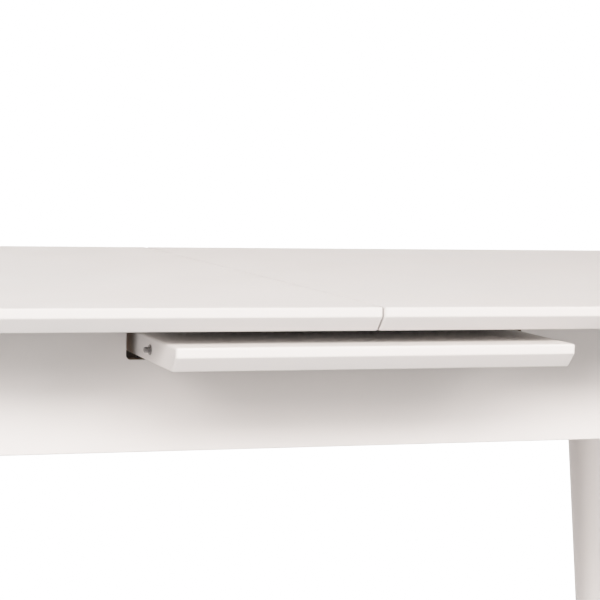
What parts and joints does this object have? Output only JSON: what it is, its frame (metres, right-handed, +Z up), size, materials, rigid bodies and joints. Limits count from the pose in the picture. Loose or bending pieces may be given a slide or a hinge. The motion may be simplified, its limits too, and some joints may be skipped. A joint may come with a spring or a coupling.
{
  "type": "extendable dining table",
  "caption": "Rectangular dining table on round splayed legs. The split top slides apart at the middle, and a spare leaf stored in slots through the aprons makes it longer.",
  "frame": {"origin": "on the floor under the middle of the table", "axes": "+X along the table's length, in the direction that the right half of the top slides, +Y from the front apron to the rear one, +Z up"},
  "size_m": [1.6, 0.9, 0.75],
  "materials": {
    "white_lacquer": "matte white lacquer over fibreboard and wood",
    "bare_beech": "planed, unfinished",
    "zinc_steel": "bright zinc plated",
    "black_steel": "matte black paint",
    "dark_plastic": "matte moulded"
  },
  "bodies": {
    "frame": {"front_apron": "white_lacquer", "rear_apron": "white_lacquer", "left_apron": "white_lacquer", "right_apron": "white_lacquer", "left_cross_rail": "bare_beech", "left_keeper_rail": "bare_beech", "left_leaf_angle": "black_steel", "right_cross_rail": "bare_beech", "right_keeper_rail": "bare_beech", "right_leaf_angle": "black_steel", "left_front_guide": "bare_beech", "left_rear_guide": "bare_beech", "right_front_guide": "bare_beech", "right_rear_guide": "bare_beech", "front_left_leg": "white_lacquer", "front_left_block": "bare_beech", "front_left_bolt": "zinc_steel", "front_left_nut": "zinc_steel", "front_left_glide": "dark_plastic", "front_right_leg": "white_lacquer", "front_right_block": "bare_beech", "front_right_bolt": "zinc_steel", "front_right_nut": "zinc_steel", "front_right_glide": "dark_plastic", "rear_left_leg": "white_lacquer", "rear_left_block": "bare_beech", "rear_left_bolt": "zinc_steel", "rear_left_nut": "zinc_steel", "rear_left_glide": "dark_plastic", "rear_right_leg": "white_lacquer", "rear_right_block": "bare_beech", "rear_right_bolt": "zinc_steel", "rear_right_nut": "zinc_steel", "rear_right_glide": "dark_plastic"},
    "left_top_half": {"left_top": "white_lacquer", "left_front_runner": "bare_beech", "left_front_stop": "bare_beech", "left_rear_runner": "bare_beech", "left_rear_stop": "bare_beech", "left_top_socket_1": "zinc_steel", "left_top_socket_2": "zinc_steel", "left_top_socket_3": "zinc_steel"},
    "right_top_half": {"right_top": "white_lacquer", "right_front_runner": "bare_beech", "right_front_stop": "bare_beech", "right_rear_runner": "bare_beech", "right_rear_stop": "bare_beech", "right_top_pin_1": "zinc_steel", "right_top_pin_2": "zinc_steel", "right_top_pin_3": "zinc_steel"},
    "spare_leaf": {"leaf": "white_lacquer", "leaf_pin_1": "zinc_steel", "leaf_pin_2": "zinc_steel", "leaf_pin_3": "zinc_steel", "leaf_socket_1": "zinc_steel", "leaf_socket_2": "zinc_steel", "leaf_socket_3": "zinc_steel"}
  },
  "joints": [
    {"name": "left_top_slide", "type": "slide", "parent": "frame", "child": "left_top_half", "axis": [-1, 0, 0], "range_m": [0, 0.2]},
    {"name": "right_top_slide", "type": "slide", "parent": "frame", "child": "right_top_half", "axis": [1, 0, 0], "range_m": [0, 0.2]},
    {"name": "leaf_slide", "type": "slide", "parent": "frame", "child": "spare_leaf", "axis": [0, -1, 0], "range_m": [-0.74, 0.74]}
  ]
}
